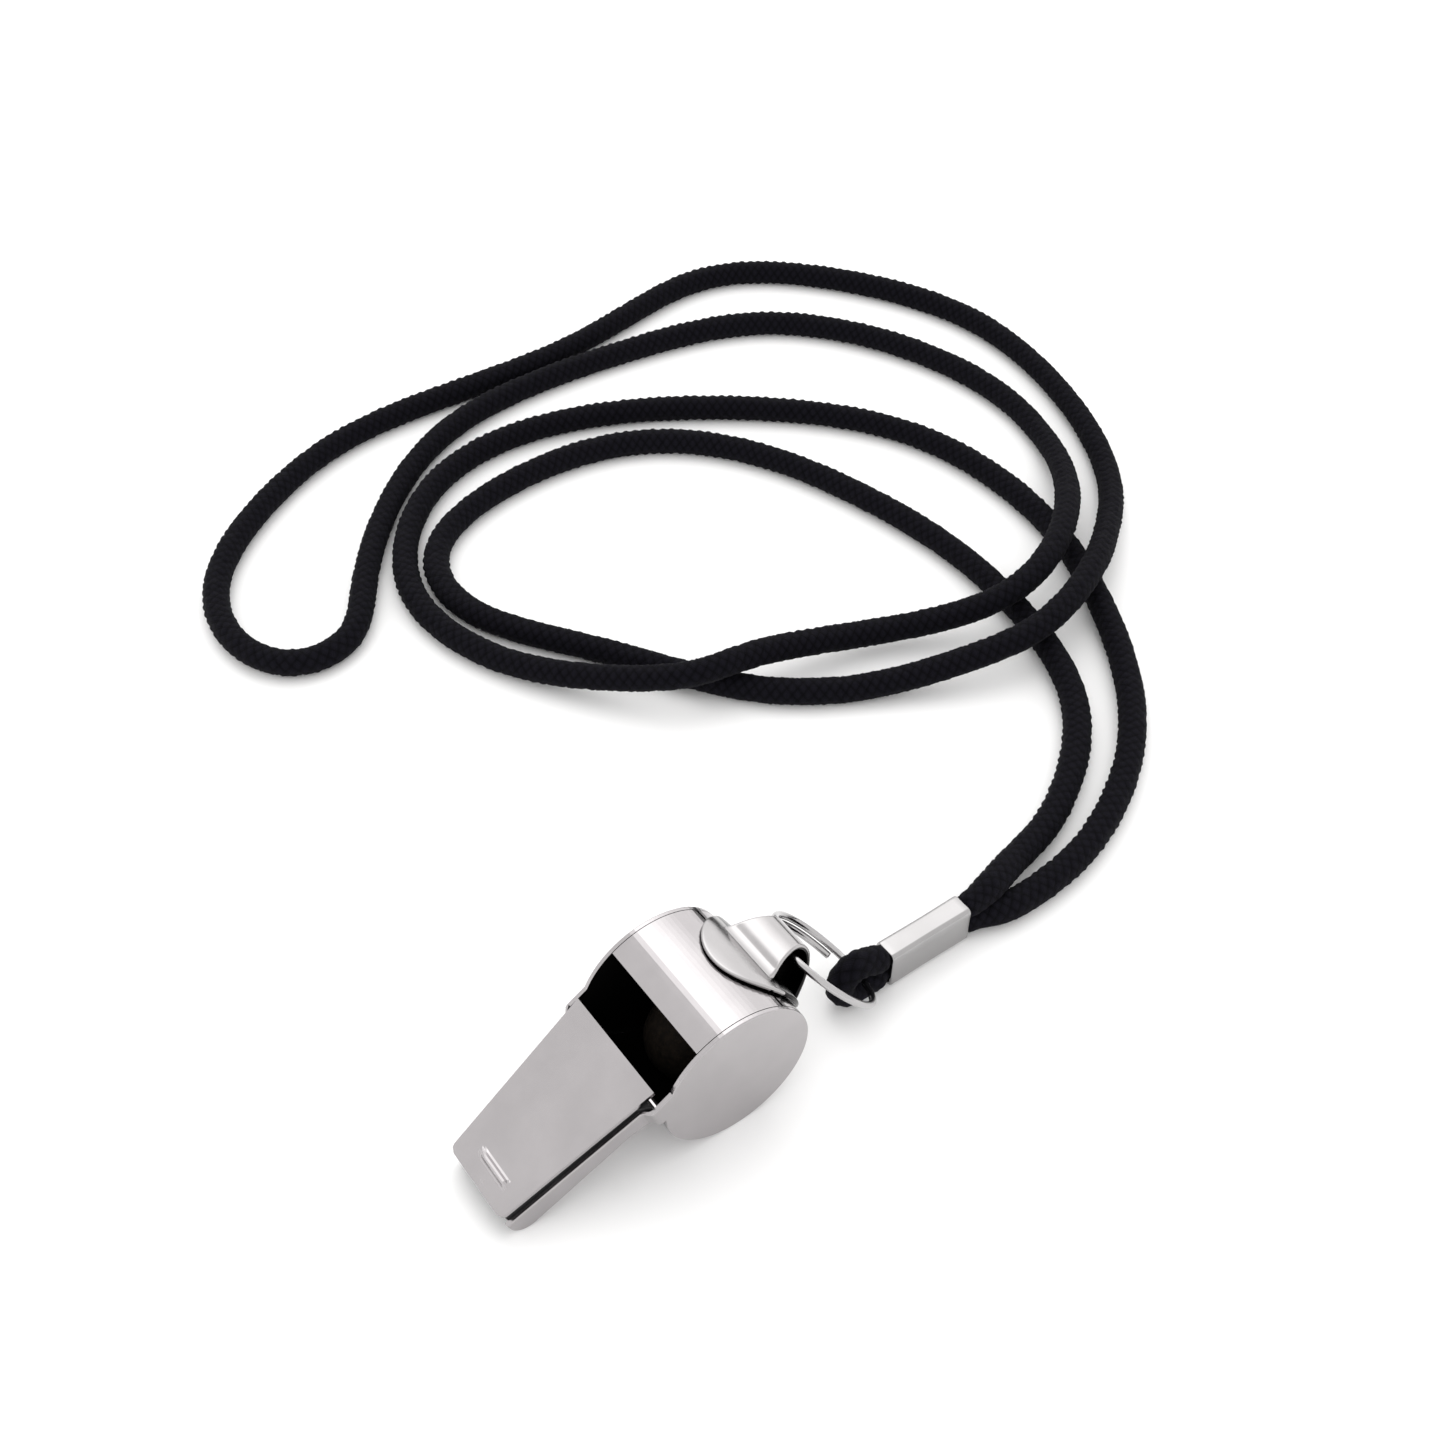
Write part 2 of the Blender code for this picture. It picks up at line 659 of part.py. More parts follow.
def cord_bight(finish, parent):
    """The short end loop that holds the ring, with both legs inside the ferrule."""
    butt_x = 0.5 * (FERRULE_NEAR_X + FERRULE_FAR_X) + BUTT_GAP
    narrow = CORD_PINCH * 0.5 * CORD_DIAMETER / BIGHT_RADIUS
    upper, lower = FERRULE_Z + LEG_SPREAD, FERRULE_Z - LEG_SPREAD
    mouth_x = FERRULE_NEAR_X + BUTT_GAP
    places = [(butt_x, upper, narrow), (mouth_x, upper, narrow)]
    turn_steps = 12
    for k in range(turn_steps + 1):
        angle = BIGHT_HALF_SWEEP * (1.0 - 2.0 * k / turn_steps)
        places.append((BIGHT_HOLE_X + BIGHT_TURN * math.cos(angle), BIGHT_Z + BIGHT_TURN * math.sin(angle), 1.0))
    places += [(mouth_x, lower, narrow), (butt_x, lower, narrow)]
    points = [(x, FERRULE_Y, z) for x, z, _ in places]
    return tube("cord_bight", points, [factor for _, _, factor in places], BIGHT_RADIUS, finish, parent, 3)


def build():
    clear_scene()
    steel = material("polished_steel", (0.72, 0.70, 0.70), 0.16, 1.0)
    wire = material("ring_steel", (0.66, 0.65, 0.65), 0.2, 1.0)
    crimp = material("ferrule_steel", (0.78, 0.77, 0.77), 0.14, 1.0)
    liner = material("liner_black", (0.012, 0.012, 0.013), 0.45, 0.0)
    ball = material("pea_brown", (0.03, 0.022, 0.018), 0.7, 0.0)
    braid = material("black_braid", (0.012, 0.012, 0.015), 0.8, 0.0)

    origin = empty("part_origin", CENTRE_SHIFT)
    whistle = empty("barrel_axis", (0.0, 0.0, BARREL_RADIUS), (0.0, PITCH, 0.0), origin)
    ring_hinge = empty("ring_hinge", RING_BOTTOM, parent=origin)

    side_plate("side_plate_left", -1.0, steel, whistle)
    side_plate("side_plate_right", 1.0, steel, whistle)
    half_seam = 0.5 * BACK_SEAM_WIDTH / BARREL_RADIUS
    barrel_band("barrel_band_upper", LIP_ANGLE, BACK_SEAM_ANGLE - half_seam, steel, whistle)
    barrel_band("barrel_band_lower", BACK_SEAM_ANGLE + half_seam, BAND_END_ANGLE, steel, whistle)
    top_plate(steel, whistle)
    floor_plate(steel, whistle)
    windway_liner(liner, whistle)
    lug(steel, whistle)
    pea(ball, whistle)

    ring = split_ring(wire, ring_hinge)
    ring.location = -RING_BOTTOM
    ferrule(crimp, origin)
    neck_cord(braid, origin)
    cord_bight(braid, origin)


build()
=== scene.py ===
"""Looks for the steel pea whistle and its braided lanyard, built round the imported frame."""

import json
import math

import bmesh
import bpy
import numpy as np
from mathutils import Matrix, Vector


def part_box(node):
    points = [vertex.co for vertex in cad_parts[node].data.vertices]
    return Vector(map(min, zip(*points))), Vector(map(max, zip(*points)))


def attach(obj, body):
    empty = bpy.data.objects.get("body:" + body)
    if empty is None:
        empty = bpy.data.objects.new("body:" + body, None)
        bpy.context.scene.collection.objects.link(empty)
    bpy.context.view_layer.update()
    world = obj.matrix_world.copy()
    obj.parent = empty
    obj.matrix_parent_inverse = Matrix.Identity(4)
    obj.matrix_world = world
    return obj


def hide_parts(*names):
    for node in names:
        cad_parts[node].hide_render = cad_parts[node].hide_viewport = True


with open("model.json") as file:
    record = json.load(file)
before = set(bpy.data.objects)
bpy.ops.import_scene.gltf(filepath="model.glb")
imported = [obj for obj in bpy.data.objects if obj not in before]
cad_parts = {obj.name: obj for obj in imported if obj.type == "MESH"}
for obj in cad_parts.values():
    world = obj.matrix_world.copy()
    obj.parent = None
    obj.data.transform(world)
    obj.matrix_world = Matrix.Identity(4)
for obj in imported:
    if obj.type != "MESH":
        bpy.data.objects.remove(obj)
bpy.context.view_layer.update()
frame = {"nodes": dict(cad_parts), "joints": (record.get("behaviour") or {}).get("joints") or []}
NODES = frame["nodes"]
JOINTS = {joint["name"]: joint for joint in frame["joints"]}

MM = 0.001

# From the frame: the whistle's barrel, the ring's lower end and the ferrule's box.
BARREL_AXIS = Vector(JOINTS["pea_roll"]["pos_m"])
RING_BOTTOM = Vector(JOINTS["ring_swing"]["pos_m"])
FERRULE_LOW, FERRULE_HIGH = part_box("crimp_ferrule")
FERRULE_MID = 0.5 * (FERRULE_LOW + FERRULE_HIGH)
BARREL_RADIUS = BARREL_AXIS.z
CHEEK_Y = 0.5 * (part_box("side_plate_right")[1].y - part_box("side_plate_left")[0].y)
SHEET = 0.6 * MM
# The route is written from the point under the barrel's axis.
SHIFT = Vector((BARREL_AXIS.x, BARREL_AXIS.y, 0.0))

# Lug: an oval strap round the barrel and the hood raised from it.
LUG_ANGLE = math.radians(149.9)
LUG_RADIUS = BARREL_RADIUS + 0.3 * MM
STRAP_HALF_LENGTH = 8.9 * MM
STRAP_HALF_WIDTH = 7.8 * MM
HOOD_APEX = 2.2 * MM
HOOD_FRONT_SPAN = 4.7 * MM
HOOD_BACK_SPAN = 4.3 * MM
HOOD_RISE = 5.8 * MM
HOOD_HALF_ROOF = 2.8 * MM
HOOD_HALF_FOOT = 5.0 * MM
HOOD_POWER = 2.2
HOOD_FILLET = 1.1 * MM
HOOD_POINTS = 72

# Split ring: the wire's centre where it passes through the lug, and how it laps itself.
RING_TOP = SHIFT + Vector((-13.8, 2.1, 17.5)) * MM
RING_LAP = math.radians(110.0)
RING_START = math.radians(-136.0)
RING_PITCH = 1.15 * MM
RING_STEPS = 260
WIRE_RADIUS = 0.5 * MM
WIRE_SIDES = 20
# Room kept for the wire in the cord, over the ring's swing in degrees.
WIRE_ROOM = 0.12 * MM
WIRE_NEAR = 6.0 * MM
SWING_STOPS = range(0, 71, 7)

# Ferrule.
FERRULE_WALL = 0.4 * MM
FERRULE_LIP = 0.16 * MM
FERRULE_CORNER = 0.75 * MM
FERRULE_CROWN = -0.04 * MM
FERRULE_WAIST = 0.05 * MM
FERRULE_SEAM = 0.16 * MM

# Camera.
CAMERA_PLACE = SHIFT + Vector((74.63, 108.51, 204.52)) * MM
CAMERA_AZIMUTH = math.radians(143.93)
CAMERA_ELEVATION = math.radians(46.32)
CAMERA_ROLL = math.radians(0.28)
CAMERA_LENS = 44.84

# Studio: a room's glow, and a panel's over it by how far it leans from straight up, in degrees.
ROOM_GLOW = 1.22
PANEL_GLOW = 1.5
PANEL_EDGE = 7.0
PANEL_FULL = 1.0
PANEL_FADE = -18.0
PANEL_FADE_END = -62.0
PANEL_REST = 0.25

# Cord.
CORD_DIAMETER = 4.2 * MM
CORD_RADIUS = 0.5 * CORD_DIAMETER
GRIPPED_RADIUS = 1.24 * MM
BIGHT_RADIUS = 1.93 * MM
BIGHT_TURN = 2.62 * MM
PICK = 1.65 * MM
CARRIERS = 6
AROUND = 4 * CARRIERS
BRAID_RELIEF = 0.15 * MM
UNEVEN = 0.055 * MM
SLOW_SWELL = 0.06 * MM
STEP = 0.37 * MM

# Route of the neck loop's centreline, from the ferrule out and back, in metres.
CORD_ROUTE = [
    (-0.0369, 0.0033, 0.0049),
    (-0.0450, 0.0031, 0.0050),
    (-0.0500, 0.0022, 0.0049),
    (-0.0565, -0.0001, 0.0033),
    (-0.0642, -0.0024, 0.0022),
    (-0.0735, -0.0069, 0.0021),
    (-0.0860, -0.0180, 0.0021),
    (-0.0932, -0.0353, 0.0021),
    (-0.0952, -0.0560, 0.0021),
    (-0.0920, -0.0770, 0.0021),
    (-0.0830, -0.0998, 0.0021),
    (-0.0660, -0.1150, 0.0021),
    (-0.0405, -0.1172, 0.0021),
    (-0.0230, -0.1085, 0.0021),
    (-0.0205, -0.0925, 0.0021),
    (-0.0326, -0.0724, 0.0021),
    (-0.0470, -0.0515, 0.0021),
    (-0.0625, -0.0405, 0.0024),
    (-0.0795, -0.0336, 0.0052),
    (-0.0915, -0.0320, 0.0067),
    (-0.1060, -0.0366, 0.0069),
    (-0.1185, -0.0448, 0.0046),
    (-0.1330, -0.0600, 0.0021),
    (-0.1442, -0.0950, 0.0021),
    (-0.1390, -0.1226, 0.0021),
    (-0.1190, -0.1470, 0.0021),
    (-0.1010, -0.1513, 0.0021),
    (-0.0720, -0.1465, 0.0021),
    (-0.0320, -0.1470, 0.0021),
    (-0.0080, -0.1395, 0.0021),
    (0.0103, -0.1240, 0.0021),
    (0.0142, -0.1080, 0.0021),
    (0.0086, -0.0984, 0.0021),
    (-0.0008, -0.0986, 0.0021),
    (-0.0095, -0.1092, 0.0021),
    (-0.0240, -0.1260, 0.0021),
    (-0.0470, -0.1390, 0.0021),
    (-0.0840, -0.1390, 0.0021),
    (-0.1120, -0.1295, 0.0021),
    (-0.1300, -0.1000, 0.0021),
    (-0.1290, -0.0715, 0.0024),
    (-0.1125, -0.0493, 0.0068),
    (-0.0925, -0.0408, 0.0067),
    (-0.0740, -0.0472, 0.0036),
    (-0.0505, -0.0538, 0.0060),
    (-0.0392, -0.0552, 0.0069),
    (-0.0285, -0.0649, 0.0043),
    (-0.0175, -0.0818, 0.0021),
    (-0.0152, -0.1040, 0.0021),
    (-0.0330, -0.1255, 0.0021),
    (-0.0598, -0.1275, 0.0021),
    (-0.0894, -0.1116, 0.0021),
    (-0.1105, -0.0865, 0.0021),
    (-0.1140, -0.0580, 0.0021),
    (-0.1075, -0.0360, 0.0021),
    (-0.0905, -0.0100, 0.0021),
    (-0.0686, 0.0032, 0.0021),
    (-0.0565, 0.0052, 0.0021),
    (-0.0500, 0.0049, 0.0021),
    (-0.0450, 0.0036, 0.0021),
    (-0.0369, 0.0033, 0.0021),
]


# ---------------------------------------------------------------- meshes


def smooth_step(t):
    t = np.clip(t, 0.0, 1.0)
    return t * t * (3.0 - 2.0 * t)


def new_object(name, vertices, faces, finish):
    mesh = bpy.data.meshes.new(name)
    mesh.from_pydata([tuple(v) for v in vertices], [], faces)
    mesh.update()
    mesh.shade_smooth()
    mesh.materials.append(finish)
    made = bpy.data.objects.new(name, mesh)
    bpy.context.scene.collection.objects.link(made)
    return made


def natural_spline(route):
    """One smooth curve through the route's points, as fine samples and the distance to each."""
    places = np.array(route, float)
    gaps = np.sqrt(np.linalg.norm(np.diff(places, axis=0), axis=1))
    knots = np.concatenate(([0.0], np.cumsum(gaps)))
    size = len(places)
    matrix = np.eye(size)
    right = np.zeros((size, 3))
    for i in range(1, size - 1):
        before, after = gaps[i - 1], gaps[i]
        matrix[i, i - 1:i + 2] = (before, 2.0 * (before + after), after)
        slope_after = (places[i + 1] - places[i]) / after
        slope_before = (places[i] - places[i - 1]) / before
        right[i] = 6.0 * (slope_after - slope_before)
    bend = np.linalg.solve(matrix, right)
    fine = np.linspace(0.0, knots[-1], 120 * size)
    span = np.clip(np.searchsorted(knots, fine, side="right") - 1, 0, size - 2)
    gap = gaps[span][:, None]
    left = (knots[span + 1] - fine)[:, None]
    done = (fine - knots[span])[:, None]
    curve = (bend[span] * left**3 + bend[span + 1] * done**3) / (6.0 * gap)
    curve += (places[span] / gap - bend[span] * gap / 6.0) * left
    curve += (places[span + 1] / gap - bend[span + 1] * gap / 6.0) * done
    travelled = np.concatenate(([0.0], np.cumsum(np.linalg.norm(np.diff(curve, axis=0), axis=1))))
    return curve, travelled


def resample(curve, travelled, step):
    """Evenly spaced points along a curve, with their distances."""
    count = max(2, round(travelled[-1] / step))
    stations = np.linspace(0.0, travelled[-1], count + 1)
    points = np.stack([np.interp(stations, travelled, curve[:, axis]) for axis in range(3)], axis=1)
    return points, stations


def frames_along(points):
    """A side and an upward direction at each point that turn as little as they can."""
    heading = np.gradient(points, axis=0)
    heading /= np.linalg.norm(heading, axis=1)[:, None]
    side = np.cross(heading[0], (0.0, 0.0, 1.0))
    side /= np.linalg.norm(side)
    sides = [side]
    for direction in heading[1:]:
        side = side - direction * np.dot(side, direction)
        side = side / np.linalg.norm(side)
        sides.append(side)
    sides = np.array(sides)
    return sides, np.cross(sides, heading)


def braid_height(along, around):
    """Relief of a round braid, from -1 in the gaps to 1 on the crowns.

    Two sets of strands wind in opposite directions, and each crown is where one passes over.
    """
    one = along + CARRIERS * around
    two = along - CARRIERS * around
    crown = np.abs(np.sin(np.pi * one) * np.sin(np.pi * two))
    lift = 0.35 * np.cos(np.pi * (np.floor(one) + np.floor(two)))
    return 2.0 * np.sqrt(crown) - 1.0 + lift * crown


def braided_cord(name, points, stations, radii, finish):
    """A braided cord round a centreline, with a radius at each point and closed ends."""
    sides, ups = frames_along(points)
    angles = np.arange(AROUND) / AROUND
    along = stations[:, None] / PICK
    slow = 0.5 * np.sin(stations / (23.0 * MM)) + 0.5 * np.sin(stations / (8.7 * MM) + 1.3)
    relief = BRAID_RELIEF * braid_height(along, angles[None, :])
    uneven = UNEVEN * np.sin(2.1 * along + 9.0 * np.sin(0.37 * along + 6.28 * angles[None, :]))
    share = (radii / CORD_RADIUS)[:, None]
    radius = radii[:, None] + SLOW_SWELL * slow[:, None] + (relief + uneven) * share
    turn = 2.0 * np.pi * angles
    ring = radius[:, :, None] * (np.cos(turn)[None, :, None] * sides[:, None, :]
                                 + np.sin(turn)[None, :, None] * ups[:, None, :])
    vertices = (points[:, None, :] + ring).reshape(-1, 3)
    vertices[:, 2] = np.maximum(vertices[:, 2], 0.05 * MM)
    rows = len(points)
    faces = []
    for i in range(rows - 1):
        for k in range(AROUND):
            j = (k + 1) % AROUND
            faces.append((i * AROUND + k, i * AROUND + j, (i + 1) * AROUND + j, (i + 1) * AROUND + k))
    faces.append(tuple(reversed(range(AROUND))))
    faces.append(tuple((rows - 1) * AROUND + k for k in range(AROUND)))
    made = new_object(name, vertices, faces, finish)
    layer = made.data.uv_layers.new(name="braid")
    loops = np.zeros(len(made.data.loops), int)
    made.data.loops.foreach_get("vertex_index", loops)
    row, column = loops // AROUND, loops % AROUND
    uv = np.stack([stations[row] / PICK, column / AROUND], axis=1)
    starts = np.zeros(len(made.data.polygons), int)
    made.data.polygons.foreach_get("loop_start", starts)
    for start in starts[:-2]:
        corner = uv[start:start + 4]
        if corner[:, 1].max() - corner[:, 1].min() > 0.5:
            corner[corner[:, 1] < 0.5, 1] += 1.0
    layer.data.foreach_set("uv", uv.ravel())
    return made


def tube(name, points, radius, sides, finish, dome=0.35):
    """A round wire along points, with softly domed ends."""
    side, up = frames_along(points)
    heading = np.cross(up, side)
    turn = 2.0 * np.pi * np.arange(sides) / sides
    rows = []
    for share in (1.0, 0.6, 0.25):
        rows.append((points[0] - heading[0] * radius * dome * share, side[0], up[0],
                     radius * math.sqrt(1.0 - share**2 * 0.85)))
    for place, s, u in zip(points, side, up):
        rows.append((place, s, u, radius))
    for share in (0.25, 0.6, 1.0):
        rows.append((points[-1] + heading[-1] * radius * dome * share, side[-1], up[-1],
                     radius * math.sqrt(1.0 - share**2 * 0.85)))
    vertices = []
    for place, s, u, r in rows:
        for angle in turn:
            vertices.append(place + r * (math.cos(angle) * s + math.sin(angle) * u))
    faces = []
    for i in range(len(rows) - 1):
        for k in range(sides):
            j = (k + 1) % sides
            faces.append((i * sides + k, i * sides + j, (i + 1) * sides + j, (i + 1) * sides + k))
    faces.append(tuple(reversed(range(sides))))
    faces.append(tuple((len(rows) - 1) * sides + k for k in range(sides)))
    return new_object(name, vertices, faces, finish)


# ---------------------------------------------------------------- materials


class Nodes:
    """The node tree of a material or a world, with short calls for the nodes used here."""

    def __init__(self, owner):
        owner.use_nodes = True
        self.owner = owner
        self.tree = owner.node_tree
        self.shader = self.tree.nodes.get("Principled BSDF") or self.tree.nodes["Background"]

    def make(self, kind, **values):
        node = self.tree.nodes.new(kind)
        for key, value in values.items():
            setattr(node, key, value)
        return node

    def link(self, source, target):
        self.tree.links.new(source, target)

    def place(self, scale):
        """Object coordinates, stretched by a scale for each axis."""
        coordinates = self.make("ShaderNodeTexCoord")
        mapping = self.make("ShaderNodeMapping")
        mapping.inputs["Scale"].default_value = scale
        self.link(coordinates.outputs["Object"], mapping.inputs["Vector"])
        return mapping.outputs["Vector"]

    def axes(self, output="Object"):
        """The three parts of a coordinate, in world axes for a node at the origin."""
        coordinates = self.make("ShaderNodeTexCoord")
        parts = self.make("ShaderNodeSeparateXYZ")
        self.link(coordinates.outputs[output], parts.inputs["Vector"])
        return parts.outputs["X"], parts.outputs["Y"], parts.outputs["Z"]

    def paint_shade(self, mask, colour):
        """Replace the base colour inside a mask with a painted shade colour."""
        socket = self.shader.inputs["Base Color"]
        self.link(self.mix(mask, socket.links[0].from_socket, colour), socket)

    def noise(self, vector, scale, detail=3.0, roughness=0.55):
        node = self.make("ShaderNodeTexNoise")
        node.inputs["Scale"].default_value = scale
        node.inputs["Detail"].default_value = detail
        node.inputs["Roughness"].default_value = roughness
        self.link(vector, node.inputs["Vector"])
        return node.outputs["Fac"]

    def spread(self, value, low, high, out_low, out_high):
        node = self.make("ShaderNodeMapRange", clamp=True)
        for key, number in (("From Min", low), ("From Max", high), ("To Min", out_low), ("To Max", out_high)):
            node.inputs[key].default_value = number
        self.link(value, node.inputs["Value"])
        return node.outputs["Result"]

    def math(self, operation, one, two=None):
        node = self.make("ShaderNodeMath", operation=operation)
        for socket, value in zip(node.inputs, (one, two)):
            if value is None:
                continue
            if isinstance(value, (int, float)):
                socket.default_value = value
            else:
                self.link(value, socket)
        return node.outputs[0]

    def mix(self, factor, one, two):
        """A colour between two, each a colour or a socket."""
        node = self.make("ShaderNodeMix", data_type="RGBA")
        self.link(factor, node.inputs[0])
        for socket, value in ((node.inputs[6], one), (node.inputs[7], two)):
            if isinstance(value, tuple):
                socket.default_value = (*value, 1.0)
            else:
                self.link(value, socket)
        return node.outputs[2]

    def bump(self, height, strength, distance):
        node = self.make("ShaderNodeBump")
        node.inputs["Strength"].default_value = strength
        node.inputs["Distance"].default_value = distance
        self.link(height, node.inputs["Height"])
        self.link(node.outputs["Normal"], self.shader.inputs["Normal"])


def steel(name, tone, roughness, grain):
    """Bright plated steel: faint clouding, fine polishing marks and a slightly uneven sheet."""
    made = Nodes(bpy.data.materials.new(name))
    made.shader.inputs["Metallic"].default_value = 1.0
    cloud = made.noise(made.place((1.0, 1.0, 1.0)), 160.0, 4.0)
    marks = made.noise(made.place(grain), 900.0, 2.0)
    dark = tuple(0.93 * part for part in tone)
    clouded = made.mix(made.spread(cloud, 0.35, 0.65, 0.0, 1.0), dark, tone)
    made.link(clouded, made.shader.inputs["Base Color"])
    worn = made.math("ADD", made.spread(cloud, 0.3, 0.7, roughness, roughness + 0.07),
                     made.spread(marks, 0.3, 0.7, 0.0, 0.04))
    made.link(worn, made.shader.inputs["Roughness"])
    made.bump(made.math("ADD", made.math("MULTIPLY", marks, 0.15), cloud), 0.12, 0.06 * MM)
    return made


def hollow_steel_painted_shade(name, tone, roughness, grain, inner_radius, inner_y):
    """The whistle's sheet, with painted shade inside the barrel, where it is also left rougher."""
    made = steel(name, tone, roughness, grain)
    x, y, z = (made.math("SUBTRACT", part, centre) for part, centre in zip(made.axes(), BARREL_AXIS))
    radius = made.math("SQRT", made.math("ADD", made.math("MULTIPLY", x, x), made.math("MULTIPLY", z, z)))
    within = made.math("MULTIPLY", made.math("LESS_THAN", radius, inner_radius),
                       made.math("LESS_THAN", made.math("ABSOLUTE", y), inner_y))
    # Painted shade: the inside of the barrel and cheeks is coloured near-black instead of lit steel.
    made.paint_shade(within, (0.012, 0.011, 0.011))
    outer_roughness = made.shader.inputs["Roughness"].links[0].from_socket
    made.link(made.math("MAXIMUM", outer_roughness, made.math("MULTIPLY", within, 0.6)),
              made.shader.inputs["Roughness"])
    return made.owner


def lug_steel(name, tone, roughness, grain):
    """The lug's sheet, in shadow inside the hood."""
    made = steel(name, tone, roughness, grain)
    x, _, z = (made.math("SUBTRACT", part, centre) for part, centre in zip(made.axes(), BARREL_AXIS))
    out_x, out_z = math.cos(LUG_ANGLE), math.sin(LUG_ANGLE)
    rise = made.math("ADD", made.math("MULTIPLY", x, out_x), made.math("MULTIPLY", z, out_z))
    across = made.math("ADD", made.math("MULTIPLY", x, -out_z), made.math("MULTIPLY", z, out_x))
    across = made.math("SUBTRACT", across, HOOD_APEX)
    behind = made.math("GREATER_THAN", across, 0.0)
    middle = 0.5 * SHEET
    span = made.spread(behind, 0.0, 1.0, HOOD_FRONT_SPAN - middle, HOOD_BACK_SPAN - middle)
    above = made.math("SUBTRACT", rise, LUG_RADIUS)
    wide = made.math("POWER", made.math("DIVIDE", made.math("ABSOLUTE", across), span), HOOD_POWER)
    height = made.math("DIVIDE", made.math("ABSOLUTE", above), HOOD_RISE - middle)
    high = made.math("POWER", height, HOOD_POWER)
    within = made.math("MULTIPLY", made.math("LESS_THAN", made.math("ADD", wide, high), 1.0),
                       made.math("GREATER_THAN", above, -3.0 * MM))
    made.paint_shade(within, (0.02, 0.019, 0.019))
    return made.owner


def liner_painted_shade():
    """Near-black liner with a fine satin grain; its near-black colour is painted shade for the recess under
    the top plate.
    """
    made = Nodes(bpy.data.materials.new("liner_painted_shade"))
    made.shader.inputs["Specular IOR Level"].default_value = 0.25
    grain = made.noise(made.place((1.0, 1.0, 1.0)), 2600.0, 2.0)
    broad = made.noise(made.place((1.0, 1.0, 1.0)), 240.0, 3.0)
    # Painted shade: near-black colour standing in for the shade in the recess between the top plate and the
    # side plates.
    made.link(made.mix(broad, (0.004, 0.004, 0.0045), (0.008, 0.008, 0.009)),
              made.shader.inputs["Base Color"])
    made.link(made.spread(grain, 0.3, 0.7, 0.42, 0.62), made.shader.inputs["Roughness"])
    made.bump(grain, 0.25, 0.03 * MM)
    return made.owner


def cork():
    """Pressed cork: dark brown grains with pores."""
    made = Nodes(bpy.data.materials.new("pea_cork"))
    made.shader.inputs["Specular IOR Level"].default_value = 0.15
    vector = made.place((1.0, 1.0, 1.0))
    cells = made.make("ShaderNodeTexVoronoi")
    cells.inputs["Scale"].default_value = 900.0
    made.link(vector, cells.inputs["Vector"])
    flecks = made.noise(vector, 1400.0, 4.0, 0.7)
    grain = made.mix(cells.outputs["Distance"], (0.014, 0.010, 0.007), (0.004, 0.003, 0.0025))
    made.link(made.mix(made.spread(flecks, 0.45, 0.65, 0.0, 0.7), grain, (0.022, 0.016, 0.011)),
              made.shader.inputs["Base Color"])
    made.link(made.spread(flecks, 0.3, 0.7, 0.7, 0.95), made.shader.inputs["Roughness"])
    made.bump(made.math("ADD", cells.outputs["Distance"], flecks), 0.5, 0.12 * MM)
    return made.owner


def braid():
    """Black polyester braid: yarns along each strand, painted shade in the gaps, painted light on the crowns
    and painted glints on a few fibres.
    """
    made = Nodes(bpy.data.materials.new("black_braid"))
    made.shader.inputs["Specular IOR Level"].default_value = 0.06
    made.shader.inputs["Sheen Weight"].default_value = 0.015
    made.shader.inputs["Sheen Roughness"].default_value = 0.5
    uv = made.make("ShaderNodeUVMap", uv_map="braid")
    parts = made.make("ShaderNodeSeparateXYZ")
    made.link(uv.outputs["UV"], parts.inputs["Vector"])
    turned = made.math("MULTIPLY", parts.outputs["Y"], float(CARRIERS))
    one = made.math("ADD", parts.outputs["X"], turned)
    two = made.math("SUBTRACT", parts.outputs["X"], turned)
    wave_one = made.math("ABSOLUTE", made.math("SINE", made.math("MULTIPLY", one, math.pi)))
    wave_two = made.math("ABSOLUTE", made.math("SINE", made.math("MULTIPLY", two, math.pi)))
    crown = made.math("SQRT", made.math("MULTIPLY", wave_one, wave_two))
    parity = made.math("PINGPONG", made.math("ADD", made.math("FLOOR", one), made.math("FLOOR", two)), 1.0)
    yarn_one = made.math("SINE", made.math("MULTIPLY", one, 10.0 * math.pi))
    yarn_two = made.math("SINE", made.math("MULTIPLY", two, 10.0 * math.pi))
    yarn = made.math("ADD", made.math("MULTIPLY", yarn_one, parity),
                     made.math("MULTIPLY", yarn_two, made.math("SUBTRACT", 1.0, parity)))
    fibres = made.noise(made.place((1.0, 1.0, 1.0)), 2400.0, 3.0, 0.7)
    # Painted shade and light: the colour is darker in the gaps between strands and lighter on the crowns.
    body = made.mix(crown, (0.0010, 0.0009, 0.0016), (0.0056, 0.0052, 0.0084))
    # Painted glints: a few fibres are coloured lighter, standing in for fuzz catching the light.
    painted_fibre_glint = made.spread(fibres, 0.62, 0.78, 0.0, 0.5)
    made.link(made.mix(painted_fibre_glint, body, (0.011, 0.0105, 0.015)), made.shader.inputs["Base Color"])
    made.link(made.spread(fibres, 0.3, 0.7, 0.72, 0.95), made.shader.inputs["Roughness"])
    height = made.math("ADD", made.math("MULTIPLY", yarn, 0.22), made.math("ADD", crown, fibres))
    made.bump(height, 0.5, 0.12 * MM)
    return made.owner


def floor_paint():
    """White studio table: almost even, with a very faint tooth."""
    made = Nodes(bpy.data.materials.new("studio_white"))
    made.shader.inputs["Specular IOR Level"].default_value = 0.1
    patch = made.noise(made.place((1.0, 1.0, 1.0)), 6.0, 2.0)
    made.link(made.mix(patch, (0.93, 0.93, 0.93), (0.95, 0.95, 0.95)), made.shader.inputs["Base Color"])
    made.link(made.spread(patch, 0.3, 0.7, 0.85, 0.95), made.shader.inputs["Roughness"])
    return made.owner


# ---------------------------------------------------------------- camera


